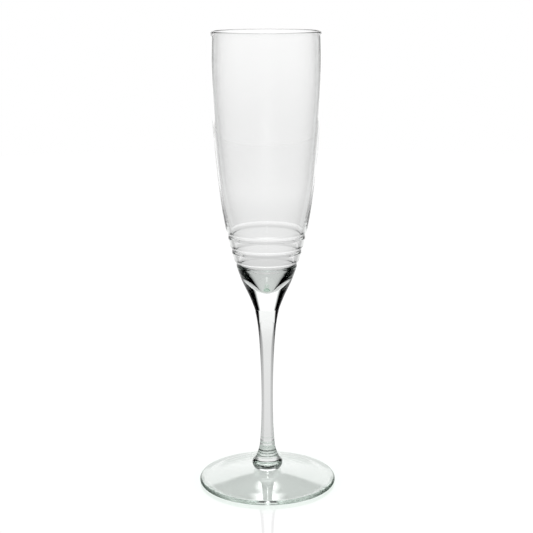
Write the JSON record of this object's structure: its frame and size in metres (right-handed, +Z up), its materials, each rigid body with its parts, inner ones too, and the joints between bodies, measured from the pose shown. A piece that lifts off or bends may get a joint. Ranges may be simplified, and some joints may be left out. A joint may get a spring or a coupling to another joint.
{
  "type": "champagne flute",
  "caption": "Tall clear crystal champagne flute: a narrow open bowl with fine cut rings round its solid tapered base, a slender stem and a round, gently sloping foot.",
  "frame": {"origin": "on the glass's axis, at the level of the table that the foot rests on", "axes": "+Z up along the axis, from the foot to the rim; X and Y are any two level directions, because the glass is round"},
  "size_m": [0.076, 0.076, 0.25],
  "materials": {
    "bowl_crystal": "clear polished crystal",
    "stem_crystal": "clear polished crystal",
    "foot_crystal": "clear polished crystal"
  },
  "bodies": {
    "root": {"bowl": "bowl_crystal", "stem": "stem_crystal", "foot": "foot_crystal"}
  },
  "joints": []
}
